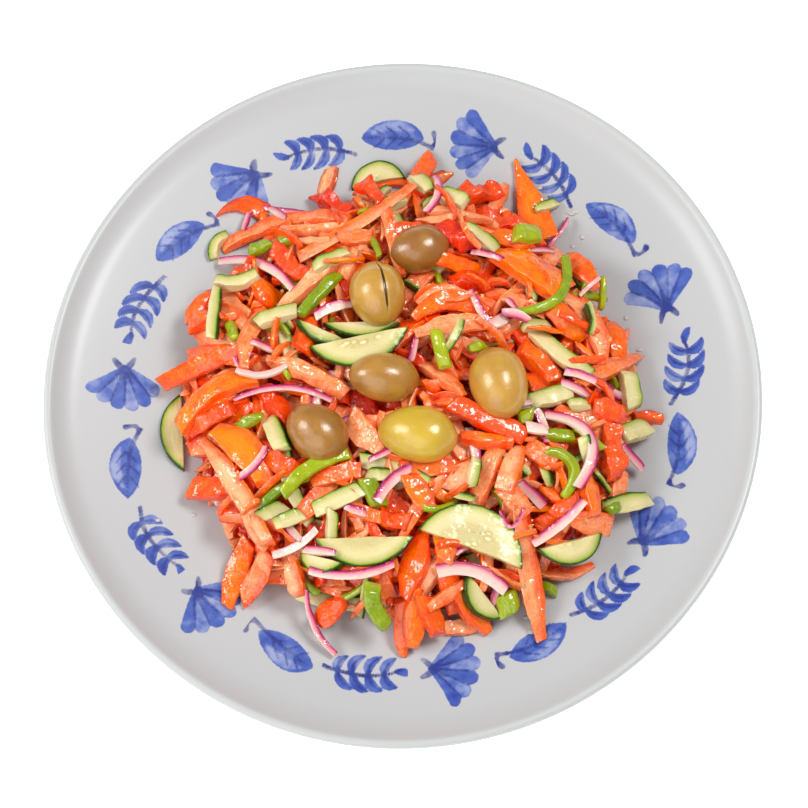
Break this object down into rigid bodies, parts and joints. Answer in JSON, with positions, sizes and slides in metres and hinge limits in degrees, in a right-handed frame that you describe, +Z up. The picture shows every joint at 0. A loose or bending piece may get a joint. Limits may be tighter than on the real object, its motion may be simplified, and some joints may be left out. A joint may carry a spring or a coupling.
{
  "type": "plate of spoon salad",
  "caption": "Shallow round plate with a low heap of coarsely cut tomato, cucumber, green pepper and red onion, topped with whole green olives.",
  "frame": {"origin": "centre of the plate's foot ring, on the surface that the plate stands on", "axes": "+Z up along the plate's axis; -Y towards the side that the picture is taken from"},
  "size_m": [0.2654, 0.2654, 0.0464],
  "materials": {
    "porcelain": "glazed porcelain, white and glossy",
    "cut_vegetables": "wet cut tomato, salmon to orange-red, with green and magenta pieces",
    "cucumber": "wet pale cucumber with a dark green skin",
    "olive": "glossy khaki to yellow-green olive skin"
  },
  "bodies": {
    "root": {"plate": "porcelain", "salad_heap": "cut_vegetables", "cucumber_slice_side": "cucumber", "olive_1": "olive", "olive_2": "olive", "olive_3": "olive", "olive_4": "olive", "olive_5": "olive", "olive_6": "olive"}
  },
  "joints": []
}
